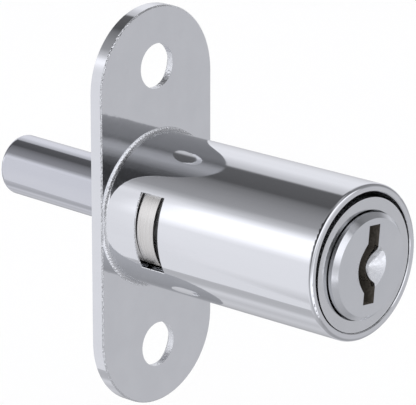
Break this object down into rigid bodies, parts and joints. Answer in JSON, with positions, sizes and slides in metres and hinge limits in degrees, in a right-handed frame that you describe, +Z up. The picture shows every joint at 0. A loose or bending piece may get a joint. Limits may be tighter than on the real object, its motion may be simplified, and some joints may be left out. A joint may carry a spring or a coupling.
{
  "type": "push cam lock",
  "caption": "Push lock for sliding doors: chrome barrel on a two-hole flange, keyed plug in a sliding plunger, side pawl in a window and a round bolt rod behind.",
  "frame": {"origin": "centre of the flange's front face, on the barrel axis, midway between the two screw holes", "axes": "-Y out of the key side along the barrel, +Y towards the bolt rod, +Z up through the upper screw hole, +X away from the window"},
  "size_m": [0.0224, 0.0671, 0.0582],
  "materials": {
    "housing_chrome": "polished chrome plate on a die casting",
    "sleeve_chrome": "chrome plate, fine turned face",
    "rod_chrome": "polished chrome plate",
    "plug_chrome": "chrome plate, satin face",
    "pawl_nickel": "nickel plate, brushed along its height",
    "steel": "plain turned steel",
    "spring_steel": "drawn spring wire",
    "wafer_brass": "stamped brass"
  },
  "bodies": {
    "housing": {"housing": "housing_chrome", "return_spring": "spring_steel"},
    "plunger": {"plunger_sleeve": "sleeve_chrome", "bolt_rod": "rod_chrome", "rod_pin": "steel", "pawl_spring_upper": "spring_steel", "pawl_spring_lower": "spring_steel"},
    "pawl": {"locking_pawl": "pawl_nickel"},
    "plug": {"key_plug": "plug_chrome", "cam_driver": "steel", "cam_screw": "steel", "wafer_spring_1": "spring_steel", "wafer_spring_2": "spring_steel", "wafer_spring_3": "spring_steel", "wafer_spring_4": "spring_steel", "wafer_spring_5": "spring_steel", "wafer_spring_6": "spring_steel", "wafer_spring_7": "spring_steel"},
    "wafer_1": {"wafer_1": "wafer_brass"},
    "wafer_2": {"wafer_2": "wafer_brass"},
    "wafer_3": {"wafer_3": "wafer_brass"},
    "wafer_4": {"wafer_4": "wafer_brass"},
    "wafer_5": {"wafer_5": "wafer_brass"},
    "wafer_6": {"wafer_6": "wafer_brass"},
    "wafer_7": {"wafer_7": "wafer_brass"}
  },
  "joints": [
    {"name": "plunger_slide", "type": "slide", "parent": "housing", "child": "plunger", "axis": [0, -1, 0], "range_m": [0, 0.01], "deforming": ["return_spring"]},
    {"name": "plug_turn", "type": "hinge", "parent": "plunger", "child": "plug", "pos_m": [0, -0.038, -0.00033], "axis": [0, 0.9998, 0.0189], "range_deg": [0, 90]},
    {"name": "pawl_slide", "type": "slide", "parent": "plunger", "child": "pawl", "axis": [1, 0, 0], "range_m": [-0.0003, 0], "stiffness_N_per_m": 100, "springref_m": -0.004, "deforming": ["pawl_spring_upper", "pawl_spring_lower"]},
    {"name": "wafer_1_slide", "type": "slide", "parent": "plug", "child": "wafer_1", "axis": [-0.0872, 0.0188, -0.996], "range_m": [-0.0006, 0], "stiffness_N_per_m": 20, "springref_m": -0.003, "deforming": ["wafer_spring_1"]},
    {"name": "wafer_2_slide", "type": "slide", "parent": "plug", "child": "wafer_2", "axis": [0.0872, -0.0188, 0.996], "range_m": [-0.0006, 0], "stiffness_N_per_m": 20, "springref_m": -0.003, "deforming": ["wafer_spring_2"]},
    {"name": "wafer_3_slide", "type": "slide", "parent": "plug", "child": "wafer_3", "axis": [-0.0872, 0.0188, -0.996], "range_m": [-0.0006, 0], "stiffness_N_per_m": 20, "springref_m": -0.003, "deforming": ["wafer_spring_3"]},
    {"name": "wafer_4_slide", "type": "slide", "parent": "plug", "child": "wafer_4", "axis": [0.0872, -0.0188, 0.996], "range_m": [-0.0006, 0], "stiffness_N_per_m": 20, "springref_m": -0.003, "deforming": ["wafer_spring_4"]},
    {"name": "wafer_5_slide", "type": "slide", "parent": "plug", "child": "wafer_5", "axis": [-0.0872, 0.0188, -0.996], "range_m": [-0.0006, 0], "stiffness_N_per_m": 20, "springref_m": -0.003, "deforming": ["wafer_spring_5"]},
    {"name": "wafer_6_slide", "type": "slide", "parent": "plug", "child": "wafer_6", "axis": [0.0872, -0.0188, 0.996], "range_m": [-0.0006, 0], "stiffness_N_per_m": 20, "springref_m": -0.003, "deforming": ["wafer_spring_6"]},
    {"name": "wafer_7_slide", "type": "slide", "parent": "plug", "child": "wafer_7", "axis": [-0.0872, 0.0188, -0.996], "range_m": [-0.0006, 0], "stiffness_N_per_m": 20, "springref_m": -0.003, "deforming": ["wafer_spring_7"]}
  ]
}
